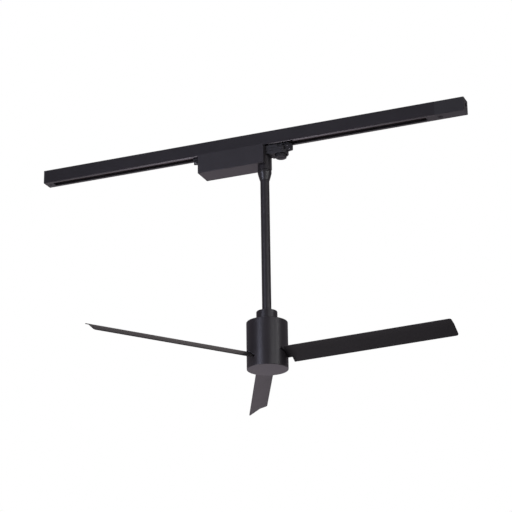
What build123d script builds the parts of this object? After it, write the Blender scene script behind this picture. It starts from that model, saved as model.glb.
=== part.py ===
"""Track-mounted ceiling fan: a surface track with a live end, and a fan that slides along it.

Millimetres. +Z is up, X runs along the track, and Y across it. The origin is the middle of the
extrusion's ceiling face. The fan hangs from a three-circuit adapter, below a driver case, on a
down rod. An outer-rotor motor spins the whole can with its three blades round the rod's axis.
"""
import math
import os

from build123d import *

os.makedirs("parts", exist_ok=True)

# Track
track_length = 1000.0
track_width = 33.0
track_height = 33.0
track_wall = 1.5
track_top_wall = 2.2
track_lip = 1.6
track_edge = 0.4
track_low_edge = 1.2
lip_upturn = 3.0
slot_width = 17.0
shelf_depth = 9.0
shelf_wall = 1.2
ceiling_hole_r = 2.3
ceiling_hole_spacing = 800.0
insulator_depth = 5.0
groove_height = 3.4
groove_depth = 3.6
groove_levels = (-15.5, -23.5)
conductor_width = 2.4
conductor_thickness = 1.1
earth_y = 5.5
earth_width = 4.0
earth_thickness = 1.0
earth_rib = 1.0

# Dead end of the track
cap_plate = 4.0
cap_edge = 1.0
cap_tab = 18.0
cap_plug = 15.0
cap_screw_r = 1.6
cap_screw_length = 14.0
cap_recess = 1.0

# Live end of the track
feed_length = 70.0
feed_wall = 2.0
feed_inset = 0.2
feed_edge = 1.0
feed_tab = 23.0
feed_plug = 20.0
feed_cover_thickness = 2.0
feed_screw_x = 10.0
feed_screw_r = 1.6
feed_screw_length = 16.0
feed_recess = 1.0
feed_recess_r = 5.6
feed_boss_r = 4.0
entry_bore_r = 5.0
entry_depth = 14.5
terminal_gap = 2.0
terminal_length = 24.0
terminal_width = 24.0
terminal_depth = 20.0
terminal_ways = 5
terminal_pitch = 4.6
terminal_screw_r = 1.7
terminal_screw_depth = 6.0
terminal_entry_r = 1.5
terminal_entry_depth = 8.0
strip_width = 2.0
strip_thickness = 1.0
strip_reach = 16.0

# Fan on the track: its rod's axis, driver case
fan_x = 76.0
case_drop = 1.5
neck_width = 14.0
neck_top = -7.0
case_left = 160.0
case_right = 8.0
case_width = 55.0
case_height = 47.1
case_wall = 2.0
case_edge = 0.4
case_neck_left = 8.0
case_neck_right = 24.0
bay_left = 22.0
lid_thickness = 2.0
lid_clear = 0.2
lid_screw_r = 1.5
lid_screw_length = 9.0
lid_recess = 1.0
lid_post_r = 3.6
lid_post_in = 0.4
board_drop = 8.0
board_thickness = 1.6
board_margin = 1.0
spacer_r = 2.5
spacer_in = 5.0
capacitor_in = 14.0
capacitor_count = 3
capacitor_r = 5.0
capacitor_height = 20.0
capacitor_pitch = 13.0
capacitor_side = 7.0
transformer_length = 24.0
transformer_height = 18.0
transformer_gap = 1.0
transformer_side = 2.0
choke_r = 5.5
choke_wire_r = 3.0
choke_pitch = 22.0
board_terminal_length = 10.0
board_terminal_width = 16.0
board_terminal_height = 10.0
board_terminal_in = 4.0
board_terminal_gap = 2.0

# Adapter
adapter_width = 32.0
adapter_drop = 3.7
adapter_height = 19.8
adapter_step = 5.2
adapter_step_x = 38.5
adapter_end_r = 18.2
adapter_wall = 2.5
adapter_arm_left = 13.0
adapter_arm_height = 8.0
adapter_neck_in = 3.0
adapter_neck_out = 1.0
ridge_count = 2
ridge_first = 6.5
ridge_pitch = 6.8
ridge_cut = 1.4
ridge_depth = 0.8
ridge_length = 44.0
contact_x = 22.0
contact_length = 8.0
contact_thickness = 1.6
contact_play = 0.15
finger_width = 3.0
finger_base = 10.0
finger_plate = 1.0
plate_height = 2.2
plate_left = 17.0
plate_screw_r = 1.4
plate_screw_places = ((4.5, 5.0), (11.5, 12.5))
plate_screw_grip = 5.0
plate_recess = 1.0

# Circuit dial and the two locks
dial_x = 42.0
dial_r = 13.2
dial_height = 12.0
dial_sink = 1.8
dial_gap = 1.4
dial_edge = 1.0
dial_rim = 5.0
dial_pocket = 4.4
dial_post_r = 4.0
dial_scallops = 12
scallop_r = 2.4
scallop_out = 1.2
scallop_stop = 3.0
grip_length = 18.0
grip_width = 3.2
grip_height = 1.2
finger_taper = 0.55
lever_x = 56.0
lever_drop = 2.0
lever_reach = 16.3
lever_r = 7.5
lever_height = 16.0
lever_post_r = 3.6
lever_pivot = 2.4
lever_pivot_r = 2.6
lever_clear = 0.6
lever_open = 6.0
rivet_r = 1.5
rivet_places = ((4.0, 5.3), (8.5, 13.8))
rivet_sink = 0.5
tongue_width = 5.0
tongue_height = 2.2
tongue_play = 1.0
tongue_hub = 0.6
latch_x = 173.0
latch_r = 5.0
latch_height = 9.5
latch_reach = 8.5
latch_post_r = 2.6
latch_pin_r = 1.3
latch_pin_x = 2.5
latch_pin_depth = 7.0

# Stem
nipple_r = 5.0
nipple_bore = 3.3
nipple_out = 1.0
nut_r = 8.0
nut_height = 4.0
collar_r = 16.4
collar_height = 36.0
collar_cap = 9.0
cone_groove = 1.5
cone_groove_depth = 1.2
cone_height = 25.2
cone_straight = 7.0
cone_end_r = 11.5
rod_r = 10.65
rod_wall = 1.6
lead_r = 3.0
lead_out = 4.0
lead_tail = 2.0

# Motor
motor_top = -467.0
motor_r = 47.5
motor_height = 112.0
can_wall = 2.0
can_top = 3.0
can_edge = 1.8
can_slot_back = 12.0
bottom_thickness = 4.0
bottom_edge = 1.3
bottom_spigot = 3.0
bottom_spigot_wall = 2.45
cover_r = 24.3
cover_height = 25.0
cover_wall = 1.6
cover_gap = 1.0
cover_edge = 1.8
cover_boss = 5.0
set_screw_r = 1.5
set_screw_access = 0.6
pin_r = 2.0
pin_drop = 11.5
pin_out = 3.0
spigot_length = 10.0
shoulder_r = 12.0
shoulder_gap = 4.0
shoulder_height = 3.0
sleeve_r = 9.5
shaft_r = 7.5
shaft_bore = 3.3
shaft_bore_end = 4.0
shaft_nut_r = 10.0
shaft_nut_height = 3.5
bearing_r = 16.0
bearing_width = 9.0
bearing_lip = 3.0
bearing_seat = 3.0
race_wall = 3.4
ball_r = 2.4
ball_play = 0.03
ball_count = 9
stator_r = 36.0
stator_height = 28.0
stator_drop = 25.0
stator_core_r = 18.0
stator_rim = 3.0
stator_mouth = 2.8
stator_lap = 0.5
slot_count = 12
tooth_width = 5.0
coil_side = 2.0
coil_end = 4.0
coil_edge = 1.8
coil_in = 2.0
coil_gap = 0.6
air_gap = 0.5
magnet_thickness = 3.5
magnet_count = 14
magnet_gap = 3.0
magnet_overhang = 2.0
ring_height = 40.0
hub_gap = 9.0
hub_plate = 6.0
hub_boss = 4.0
hub_lip = 1.0
hub_screw_r = 2.0
hub_screw_grip = 10.0

# Blades
blade_count = 3
blade_azimuth = -5.0
blade_tip_r = 455.0
blade_thickness = 2.0
blade_low_chord = 32.3
blade_high_chord = 19.5
blade_low_pitch = 35.4
blade_high_pitch = 20.0
blade_crease_t = -4.0
blade_drop = 9.0
blade_inner_r = 25.0
blade_corner = 5.0
tang_low = 18.0
tang_high = 14.5
shoulder_low_r = 58.0
shoulder_high_r = 53.0
slot_clearance = 2.0
blade_screw_r = 2.0
blade_screw_in = 6.0
blade_screw_pitch = 8.0
blade_screw_along = 8.0
blade_screw_head_r = 3.6
blade_screw_head = 2.0
blade_screw_grip = 9.0
clamp_thickness = 1.5
clamp_half = 5.5
clamp_end = 4.5
pad_low_t = -13.0
pad_high_t = 9.5

# Fits, the largest share of a wall that an edge may take, and screw heads as shares of the
# shank's radius and of the recess
fit_gap = 0.05
edge_share = 0.9
running_gap = 0.3
head_share = 1.8
recess_share = 1.9
head_fill = 0.9
hub_head_share = 1.3
cross_share = 0.75
cross_fill = 0.55


def block(x0, x1, y0, y1, z0, z1):
    """A box between two corners."""
    size = (abs(x1 - x0), abs(y1 - y0), abs(z1 - z0))
    return Pos((x0 + x1) / 2, (y0 + y1) / 2, (z0 + z1) / 2) * Box(*size)


def post(x, y, z0, z1, radius):
    """An upright cylinder from z0 to z1."""
    return Pos(x, y, (z0 + z1) / 2) * Cylinder(radius, abs(z1 - z0))


def ring(x, y, z0, z1, outer, inner):
    return post(x, y, z0, z1, outer) - post(x, y, z0, z1, inner)


def prism_x(points, x0, x1):
    """A closed (y, z) outline run along X."""
    face = make_face(Polyline(*points, close=True))
    return Pos(x0, 0, 0) * extrude(Plane.YZ * face, x1 - x0)


def bolt(x, y, z_head, head_r, head_height, shank_r, length, up=True):
    """A pan-head screw whose head's bearing face is at z_head and whose shank points up or down."""
    way = 1 if up else -1
    head = post(x, y, z_head - way * head_height, z_head, head_r)
    shank = post(x, y, z_head, z_head + way * length, shank_r)
    recess_depth = cross_fill * head_height
    recess = post(x, y, z_head - way * head_height, z_head - way * (head_height - recess_depth),
                  shank_r * cross_share)
    return head + shank - recess


def around(shape, count, start=0.0, centre=(0.0, 0.0)):
    """Copies of a shape about an upright axis."""
    turned = []
    for i in range(count):
        turn = Pos(*centre) * Rot(0, 0, start + 360.0 * i / count) * Pos(-centre[0], -centre[1])
        turned.append(turn * shape)
    return turned


nodes = {}


def rounded_bar(x0, x1, half, z0, z1):
    """A bar along X whose two lower long edges are rounded like the track's."""
    bar = block(x0, x1, -half, half, z0, z1)
    return fillet(bar.edges().filter_by(Axis.X).group_by(Axis.Z)[0], low_edge)


def keep(name, *shapes):
    """Stores a node as separate solids."""
    solids = [solid for shape in shapes for solid in shape.solids()]
    nodes[name] = solids[0] if len(solids) == 1 else Compound(children=solids)


# Track: a grooved aluminium extrusion with a down-facing slot
half_track = track_length / 2
half_width = track_width / 2
half_slot = slot_width / 2
inner_wall = half_width - track_wall
lip_top = -track_height + track_lip
shelf_z = -shelf_depth
low_edge = min(track_low_edge, edge_share * track_lip)


def track_side(side):
    """The parts of the section on one side of the slot."""
    wall = block(-half_track, half_track, side * inner_wall, side * half_width, -track_height, 0)
    lip = block(-half_track, half_track, side * half_slot, side * inner_wall, -track_height, lip_top)
    upturn = block(-half_track, half_track, side * half_slot, side * (half_slot + shelf_wall),
                   lip_top, lip_top + lip_upturn)
    shelf = block(-half_track, half_track, side * (inner_wall - insulator_depth), side * inner_wall,
                  shelf_z - shelf_wall, shelf_z)
    return wall + lip + upturn + shelf


track = block(-half_track, half_track, -inner_wall, inner_wall, -track_top_wall, 0)
track += track_side(-1) + track_side(1)
for rib_y in (earth_y - earth_width / 2 - earth_rib, earth_y + earth_width / 2):
    track += block(-half_track, half_track, rib_y, rib_y + earth_rib,
                   -track_top_wall - earth_thickness, -track_top_wall)
for hole_x in (-ceiling_hole_spacing / 2, ceiling_hole_spacing / 2):
    track -= post(hole_x, 0, -track_top_wall, 0, ceiling_hole_r)
outer_edges = track.edges().filter_by(Axis.X).filter_by(
    lambda edge: abs(abs(edge.center().Y) - half_width) < 0.01).group_by(Axis.Z)
track = fillet(outer_edges[-1], track_edge)
outer_edges = track.edges().filter_by(Axis.X).filter_by(
    lambda edge: abs(abs(edge.center().Y) - half_width) < 0.01).group_by(Axis.Z)
track = fillet(outer_edges[0], low_edge)
keep("track_profile", track)

insulator_top = shelf_z - shelf_wall
insulator_foot = inner_wall - insulator_depth
foot_y = half_slot + shelf_wall


def insulator(side):
    """A plastic strip with one groove for each conductor, seated between the shelf and the lip."""
    body = block(-half_track, half_track, side * insulator_foot, side * inner_wall,
                 lip_top, insulator_top)
    for level in groove_levels:
        body -= block(-half_track, half_track, side * insulator_foot,
                      side * (insulator_foot + groove_depth),
                      level - groove_height / 2, level + groove_height / 2)
    return body


keep("track_insulator_front", insulator(-1))
keep("track_insulator_back", insulator(1))

conductor_back = insulator_foot + groove_depth
conductor_face = conductor_back - conductor_thickness
keep("track_conductors", *[
    block(-half_track, half_track, side * conductor_face, side * conductor_back,
          level - conductor_width / 2, level + conductor_width / 2)
    for side in (-1, 1) for level in groove_levels])
keep("track_earth_strip", block(-half_track, half_track, earth_y - earth_width / 2,
                                earth_y + earth_width / 2,
                                -track_top_wall - earth_thickness, -track_top_wall))

# Dead end: a moulded cap with a plug in the channel and a tab that closes the slot
plug_top = -track_top_wall - earth_thickness - fit_gap
end_cap = rounded_bar(-half_track - cap_plate, -half_track, half_width, -track_height, 0)
end_cap = fillet(end_cap.edges().filter_by(Axis.Z).group_by(Axis.X)[0], cap_edge)
end_cap += block(-half_track, -half_track + cap_tab, -half_slot + fit_gap, half_slot - fit_gap,
                 -track_height, lip_top + lip_upturn)
end_cap += block(-half_track, -half_track + cap_plug, -foot_y + fit_gap, foot_y - fit_gap,
                 lip_top + lip_upturn, plug_top)
cap_screw_x = -half_track + cap_plug / 2
cap_screw_seat = -track_height + cap_recess
end_cap -= post(cap_screw_x, 0, -track_height, cap_screw_seat, cap_screw_r * recess_share)
end_cap -= post(cap_screw_x, 0, cap_screw_seat, cap_screw_seat + cap_screw_length, cap_screw_r)
keep("end_cap", end_cap)
keep("end_cap_screw", bolt(cap_screw_x, 0, cap_screw_seat, cap_screw_r * head_share, head_fill * cap_recess,
                           cap_screw_r, cap_screw_length))

# Live end: a moulded housing with a terminal block, closed by a cover from below
feed_x0 = half_track
feed_x1 = half_track + feed_length
cover_z = -track_height + feed_cover_thickness
feed_half = half_width - feed_inset
feed_inner_y = feed_half - feed_wall
feed_roof = -feed_inset - feed_wall
feed = rounded_bar(feed_x0, feed_x1, feed_half, -track_height, -feed_inset)
feed = fillet(feed.edges().filter_by(Axis.Z).group_by(Axis.X)[-1], feed_edge)
feed -= block(feed_x0 + feed_wall, feed_x1 - feed_wall, -feed_inner_y, feed_inner_y,
              -track_height, feed_roof)
boss_x = feed_x0 + feed_screw_x
feed += post(boss_x, 0, cover_z, feed_roof, feed_boss_r)
feed += block(feed_x0, feed_x0 + feed_wall, -feed_inner_y, feed_inner_y, -track_height, 0)
feed += block(feed_x0 - feed_tab, feed_x0, -half_slot + fit_gap, half_slot - fit_gap,
              -track_height, lip_top + lip_upturn)
feed += block(feed_x0 - feed_plug, feed_x0, -foot_y + fit_gap, foot_y - fit_gap,
              lip_top + lip_upturn, plug_top)
entry_place = Pos(feed_x1 - feed_wall / 2, 0, -entry_depth) * Rot(0, 90, 0)
entry_bore = entry_place * Cylinder(entry_bore_r, feed_wall)
feed -= entry_bore
feed -= post(boss_x, 0, cover_z, cover_z + feed_screw_length, feed_screw_r)
keep("feed_housing", feed)

feed_cover = block(feed_x0 + feed_wall, feed_x1 - feed_wall, -feed_inner_y, feed_inner_y,
                   -track_height, cover_z)
feed_cover -= post(boss_x, 0, -track_height, cover_z, feed_screw_r)
feed_seat = -track_height + feed_recess
feed_cover -= post(boss_x, 0, -track_height, feed_seat, feed_recess_r)
keep("feed_cover", feed_cover)
keep("feed_cover_screw", bolt(boss_x, 0, feed_seat, feed_screw_r * head_share, head_fill * feed_recess,
                              feed_screw_r, cover_z - feed_seat + feed_screw_length))

terminal_x0 = boss_x + feed_boss_r + terminal_gap
terminal_x1 = terminal_x0 + terminal_length
terminal_mid = (terminal_x0 + terminal_x1) / 2
terminal_half = terminal_width / 2
terminal = block(terminal_x0, terminal_x1, -terminal_half, terminal_half, -terminal_depth, feed_roof)
for i in range(terminal_ways):
    way_y = terminal_pitch * (i - (terminal_ways - 1) / 2)
    terminal -= post(terminal_mid, way_y, -terminal_depth, -terminal_depth + terminal_screw_depth,
                     terminal_screw_r)
    entry = Pos(terminal_x1 - terminal_entry_depth / 2, way_y, (feed_roof - terminal_depth) / 2)
    terminal -= entry * Rot(0, 90, 0) * Cylinder(terminal_entry_r, terminal_entry_depth)
keep("feed_terminal_block", terminal)


def feed_strip(side, level):
    """A brass strip from the terminal block through the housing's end wall to a conductor."""
    y0 = side * (conductor_face - strip_thickness)
    return block(half_track - strip_reach, terminal_x0, y0, side * conductor_face,
                 level - strip_width / 2, level + strip_width / 2)


strips = [feed_strip(side, level) for side in (-1, 1) for level in groove_levels]
for strip in strips:
    feed -= strip
    nodes["feed_terminal_block"] -= strip
keep("feed_housing", feed)
keep("feed_contacts", *strips)

# Driver case: a shallow box on the adapter, with a neck in the track's slot
case_top = -track_height - case_drop
case_bottom = case_top - case_height
case_x0 = fan_x - case_left
case_x1 = fan_x + case_right
case_half = case_width / 2
bay_x = fan_x - bay_left
adapter_top = -track_height - adapter_drop
adapter_bottom = adapter_top - adapter_height
neck_half = neck_width / 2
arm_half = adapter_width / 2 - case_wall
nut_z = adapter_bottom + adapter_arm_height

case = block(case_x0, case_x1, -case_half, case_half, case_bottom, case_top)
case = chamfer(case.edges().filter_by(Axis.X), case_edge)
case -= block(case_x0 + case_wall, bay_x - case_wall, -case_half + case_wall, case_half - case_wall,
              case_bottom, case_top - case_wall)
case -= block(bay_x, case_x1 - case_wall, -case_half + case_wall, case_half - case_wall,
              case_bottom + lid_thickness, case_top - case_wall)
case -= post(fan_x, 0, case_bottom, adapter_bottom, collar_r + running_gap)
case -= block(fan_x - adapter_arm_left - running_gap, case_x1, -arm_half - running_gap,
              arm_half + running_gap, adapter_bottom - running_gap,
              adapter_bottom + adapter_arm_height + running_gap)
lid_x0 = case_x0 + case_wall
lid_x1 = bay_x - case_wall
inner_half = case_half - case_wall
post_in = lid_clear + lid_post_in + lid_post_r
screw_places = [(x, y) for x in (lid_x0 + post_in, lid_x1 - post_in)
                for y in (-inner_half + post_in, inner_half - post_in)]
lid_top = case_bottom + lid_thickness
lid_seat = case_top - lid_recess
lid_post_top = case_top - case_wall
for x, y in screw_places:
    case -= post(x, y, lid_post_top, case_top, lid_screw_r)
    case -= post(x, y, lid_seat, case_top, lid_screw_r * recess_share)
latch_axis_x = fan_x - latch_x
case_neck_x0 = latch_axis_x - case_neck_left
case_neck_x1 = case_x0 + case_neck_right
case += block(case_neck_x0, case_neck_x1, -neck_half, neck_half, case_top - case_wall, neck_top)
case += block(case_neck_x0, case_x0, -neck_half, neck_half, case_top - case_wall, case_top)

latch_level = groove_levels[0]
case -= post(latch_axis_x, 0, case_top - case_wall, latch_level + tongue_height / 2 + running_gap,
             latch_post_r + fit_gap)
reach = conductor_face - tongue_play
case -= post(latch_axis_x, 0, latch_level - tongue_height / 2 - running_gap,
             latch_level + tongue_height / 2 + running_gap, reach + running_gap)
case -= post(fan_x, 0, nut_z, nut_z + nut_height, nut_r + running_gap)
keep("driver_case", case)

lid = block(lid_x0 + lid_clear, lid_x1 - lid_clear, -inner_half + lid_clear, inner_half - lid_clear,
            case_bottom, lid_top)
lid_screws = []
for x, y in screw_places:
    lid += post(x, y, lid_top, lid_post_top, lid_post_r)
    lid -= post(x, y, lid_seat - lid_screw_length, lid_post_top, lid_screw_r)
    lid_screws.append(bolt(x, y, lid_seat, lid_screw_r * head_share, head_fill * lid_recess, lid_screw_r,
                           lid_screw_length, up=False))
keep("driver_lid", lid)
keep("driver_lid_screws", *lid_screws)

board_z = case_top - case_wall - board_drop
board_face = board_z - board_thickness
board_x0 = lid_x0 + post_in + lid_post_r + board_margin
board_x1 = lid_x1 - post_in - lid_post_r - board_margin
board_half = inner_half - board_margin
spacer_y = board_half - spacer_in
capacitor_x0 = board_x0 + capacitor_in
capacitor_y = board_half - capacitor_r - capacitor_side
transformer_x0 = capacitor_x0 + capacitor_count * capacitor_pitch + transformer_gap
transformer_y0 = -capacitor_y + transformer_side
board_terminal_x0 = board_x1 - board_terminal_length - board_terminal_in
board_terminal_y = board_terminal_width / 2 + board_terminal_gap
keep("driver_board", block(board_x0, board_x1, -board_half, board_half, board_face, board_z))
keep("board_spacers", *[post(x, y, board_z, case_top - case_wall, spacer_r)
                        for x in (board_x0 + spacer_in, board_x1 - spacer_in)
                        for y in (-spacer_y, spacer_y)])
keep("board_capacitors", *[
    post(capacitor_x0 + capacitor_pitch * i, capacitor_y, board_face - capacitor_height, board_face,
         capacitor_r) for i in range(capacitor_count)])
keep("board_transformer", block(transformer_x0, transformer_x0 + transformer_length, transformer_y0,
                                transformer_y0 + transformer_length,
                                board_face - transformer_height, board_face))
keep("board_choke", *[
    Pos(capacitor_x0 + choke_r + choke_wire_r + choke_pitch * i, -capacitor_y,
        board_face - choke_wire_r - fit_gap) * Torus(choke_r, choke_wire_r) for i in range(2)])
keep("board_terminals", *[
    block(board_terminal_x0, board_terminal_x0 + board_terminal_length, y - board_terminal_width / 2,
          y + board_terminal_width / 2, board_face - board_terminal_height, board_face)
    for y in (-board_terminal_y, board_terminal_y)])

# Adapter: a moulded body below the slot, with a neck that carries the locking tongue
adapter_half = adapter_width / 2
adapter_x0 = case_x1
dial_axis_x = fan_x + dial_x
adapter_x1 = dial_axis_x + adapter_end_r
lever_axis_x = fan_x + lever_x
step_x = fan_x + adapter_step_x
step_z = adapter_top - adapter_step


def round_ended(x0, z0, z1):
    """A slab as wide as the adapter whose far end follows a circle round the dial."""
    slab = block(x0, dial_axis_x, -adapter_half, adapter_half, z0, z1)
    end = post(dial_axis_x, 0, z0, z1, adapter_end_r)
    return slab + (end & block(dial_axis_x, adapter_x1, -adapter_half, adapter_half, z0, z1))


adapter = round_ended(adapter_x0, adapter_bottom, adapter_top)
adapter -= block(step_x, adapter_x1, -adapter_half, adapter_half, step_z, adapter_top)
for i in range(ridge_count):
    ridge_z = adapter_top - ridge_first - ridge_pitch * i
    for side in (-1, 1):
        adapter -= block(adapter_x0, adapter_x0 + ridge_length, side * (adapter_half - ridge_depth),
                         side * adapter_half, ridge_z - ridge_cut, ridge_z)
pocket_top = step_z - adapter_wall
dial_body_r = dial_r - dial_rim
adapter -= post(dial_axis_x, 0, adapter_bottom, adapter_bottom + dial_sink, dial_r + dial_gap)
adapter -= post(dial_axis_x, 0, adapter_bottom, adapter_bottom + dial_pocket, dial_body_r)
adapter -= post(dial_axis_x, 0, adapter_bottom, pocket_top, dial_post_r + fit_gap)
lever_z1 = -track_height - lever_drop
lever_z0 = lever_z1 - lever_height
recess_x0 = lever_axis_x - lever_r - lever_clear
recess_floor = lever_z0 - running_gap
adapter -= block(recess_x0, adapter_x1, -lever_r - lever_clear, adapter_half, recess_floor, step_z)
adapter -= block(recess_x0 + lever_open, adapter_x1, -adapter_half, adapter_half, recess_floor, step_z)
adapter -= post(lever_axis_x, 0, recess_floor - lever_pivot - running_gap, recess_floor,
                lever_pivot_r + fit_gap)
arm_x0 = fan_x - adapter_arm_left
adapter += block(arm_x0, adapter_x0, -arm_half, arm_half, adapter_bottom,
                 adapter_bottom + adapter_arm_height)
neck_x0 = adapter_x0 + adapter_neck_in
adapter += block(neck_x0, recess_x0, -neck_half, neck_half, step_z, neck_top)
neck_x1 = lever_axis_x + lever_r + adapter_neck_out
neck_bottom = lever_z1 + running_gap
adapter += block(recess_x0, neck_x1, -neck_half, neck_half, neck_bottom, neck_top)
lever_level = groove_levels[1]
adapter -= post(lever_axis_x, 0, neck_bottom, lever_level + tongue_height / 2 + running_gap,
                lever_post_r + fit_gap)
adapter -= post(lever_axis_x, 0, lever_level - tongue_height / 2 - running_gap,
                lever_level + tongue_height / 2 + running_gap, reach + running_gap)
adapter -= post(fan_x, 0, adapter_bottom, adapter_bottom + adapter_arm_height, nipple_r)
finger_x = (neck_x0 + dial_axis_x) / 2
finger_y0 = earth_y - finger_width / 2
finger_y1 = earth_y + finger_width / 2
finger_step = neck_top + finger_plate
earth_face = -track_top_wall - earth_thickness
earth_contact = block(finger_x - finger_base / 2, finger_x + finger_base / 2, finger_y0, finger_y1,
                      neck_top, finger_step)
earth_contact += block(finger_x - finger_width / 2, finger_x + finger_width / 2, finger_y0, finger_y1,
                       finger_step, earth_face - contact_play)
keep("earth_contact", earth_contact)


def side_contact(side):
    """A sprung copper tongue that reaches from the neck to a conductor."""
    level = groove_levels[0]
    middle = fan_x + contact_x
    return block(middle - contact_length / 2, middle + contact_length / 2, side * neck_half,
                 side * (conductor_face - contact_play),
                 level - contact_thickness / 2, level + contact_thickness / 2)


keep("adapter_contacts", side_contact(-1), side_contact(1))

plate_x0 = fan_x + plate_left
plate_bottom = adapter_bottom - plate_height
plate = round_ended(plate_x0, plate_bottom, adapter_bottom)
plate -= post(dial_axis_x, 0, plate_bottom, adapter_bottom, dial_r + dial_gap)
plate_seat = plate_bottom + plate_recess
plate_screw_top = adapter_bottom + plate_screw_grip
plate_screws = []
for along, across in plate_screw_places:
    x = plate_x0 + along
    for y in (-across, across):
        adapter -= post(x, y, adapter_bottom, plate_screw_top, plate_screw_r)
        plate -= post(x, y, plate_bottom, adapter_bottom, plate_screw_r)
        plate -= post(x, y, plate_bottom, plate_seat, plate_screw_r * recess_share)
        plate_screws.append(bolt(x, y, plate_seat, plate_screw_r * head_share, head_fill * plate_recess,
                                 plate_screw_r, plate_screw_top - plate_seat))
keep("adapter_body", adapter)
keep("adapter_feet", plate)
keep("adapter_feet_screws", *plate_screws)

# Circuit dial: a scalloped knob with a post in the adapter
dial_top = adapter_bottom + dial_sink - running_gap
dial_bottom = dial_top - dial_height
dial = post(dial_axis_x, 0, dial_bottom, dial_top, dial_r)
dial = chamfer(dial.edges().group_by(Axis.Z)[0], dial_edge)
scallop = post(dial_axis_x + dial_r + scallop_out, 0, dial_bottom, dial_top - scallop_stop, scallop_r)
for cut in around(scallop, dial_scallops, centre=(dial_axis_x, 0)):
    dial -= cut
dial += post(dial_axis_x, 0, dial_top, adapter_bottom + dial_pocket - running_gap,
             dial_body_r - running_gap)
dial += post(dial_axis_x, 0, dial_top, pocket_top - running_gap, dial_post_r)
grip = block(dial_axis_x - grip_length / 2, dial_axis_x + grip_length / 2, -grip_width / 2,
             grip_width / 2, dial_bottom - grip_height, dial_bottom)
dial += fillet(grip.edges().filter_by(Axis.Z), 0.45 * grip_width)
keep("phase_dial", dial)


def finger_lean(radius, reach_x):
    """The angle between a lever's tapering sides and its middle line."""
    return math.asin(radius * (1 - finger_taper) / (abs(reach_x) - radius * finger_taper))


def ramped_lever(axis_x, radius, reach_x, z0, z1):
    """A round hub with a finger that tapers outward along X."""
    tip_r = radius * finger_taper
    direction = 1 if reach_x > 0 else -1
    tip_x = axis_x + reach_x - direction * tip_r
    hub = post(axis_x, 0, z0, z1, radius)
    tip = post(tip_x, 0, z0, z1, tip_r)
    lean = finger_lean(radius, reach_x)
    side = Vector(math.sin(lean) * direction, math.cos(lean))
    points = [(axis_x + side.X * radius, side.Y * radius), (tip_x + side.X * tip_r, side.Y * tip_r),
              (tip_x + side.X * tip_r, -side.Y * tip_r), (axis_x + side.X * radius, -side.Y * radius)]
    web = Pos(0, 0, z0) * extrude(make_face(Polyline(*points, close=True)), z1 - z0)
    return hub + tip + web


def tongue(axis_x, level):
    """A double-ended locking tongue with round ends that reach into the grooves."""
    bar = block(axis_x - tongue_width / 2, axis_x + tongue_width / 2, -reach, reach,
                level - tongue_height / 2, level + tongue_height / 2)
    return bar & post(axis_x, 0, level - tongue_height / 2, level + tongue_height / 2, reach)


# Locking lever at the adapter's end
lever = ramped_lever(lever_axis_x, lever_r, lever_reach, lever_z0, lever_z1)
lever += post(lever_axis_x, 0, lever_z1, lever_level, lever_post_r)
lever += post(lever_axis_x, 0, recess_floor - lever_pivot, lever_z0, lever_pivot_r)
lever_tongue = tongue(lever_axis_x, lever_level) - post(
    lever_axis_x, 0, -track_height, 0, lever_post_r * tongue_hub)
lever -= lever_tongue
lean = finger_lean(lever_r, lever_reach)
rivets = []
for out, down in rivet_places:
    rivet_place = Pos(lever_axis_x + out, 0, lever_z1 - down) * Rot(90, 0, 0)
    lever -= rivet_place * Cylinder(rivet_r, 2 * lever_r)
    side_y = lever_r / math.cos(lean) - (out + rivet_r) * math.tan(lean)
    rivets.append(rivet_place * Cylinder(rivet_r, 2 * (side_y - rivet_sink)))
keep("lock_lever", lever)
keep("lock_tongue", lever_tongue)
keep("lever_rivets", *rivets)

# Latch at the driver's end
latch_z1 = case_top - case_wall - running_gap
latch_z0 = latch_z1 - latch_height
latch = ramped_lever(latch_axis_x, latch_r, -latch_reach, latch_z0, latch_z1)
latch += post(latch_axis_x, 0, latch_z1, latch_level, latch_post_r)
latch_tongue = tongue(latch_axis_x, latch_level) - post(
    latch_axis_x, 0, -track_height, 0, latch_post_r * tongue_hub)
latch -= latch_tongue
latch_pin_place = Pos(latch_axis_x - latch_pin_x, 0, latch_z1 - latch_pin_depth) * Rot(90, 0, 0)
latch_pin = latch_pin_place * Cylinder(latch_pin_r, 2 * latch_r)
latch -= latch_pin
keep("latch_lever", latch)
keep("latch_tongue", latch_tongue)
keep("latch_pin", latch_pin)

# Stem: nipple and nut, collar, cone, down rod and the lead inside them
collar_top = adapter_bottom
collar_bottom = collar_top - collar_height
nipple_bottom = collar_top - collar_cap
keep("stem_nipple", ring(fan_x, 0, nipple_bottom, nut_z + nut_height + nipple_out, nipple_r, nipple_bore))
nut = Pos(fan_x, 0, nut_z) * extrude(RegularPolygon(nut_r, 6), nut_height)
keep("stem_nut", nut - post(fan_x, 0, nut_z, nut_z + nut_height, nipple_r))
collar = post(fan_x, 0, collar_bottom, collar_top, collar_r)
collar -= post(fan_x, 0, nipple_bottom, collar_top, nipple_r)
collar -= post(fan_x, 0, collar_bottom, nipple_bottom, rod_r)
keep("stem_collar", collar)

cone_bottom = collar_bottom - cone_height
groove_bottom = collar_bottom - cone_groove
groove_floor_r = collar_r - cone_groove_depth
cone_points = [(rod_r, collar_bottom), (groove_floor_r, collar_bottom), (groove_floor_r, groove_bottom),
               (collar_r, groove_bottom), (collar_r, collar_bottom - cone_straight),
               (cone_end_r, cone_bottom), (rod_r, cone_bottom)]
cone_face = Plane.XZ * make_face(Polyline(*cone_points, close=True))
cone = revolve(cone_face, Axis.Z)
keep("stem_cone", Pos(fan_x, 0, 0) * cone)

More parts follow.
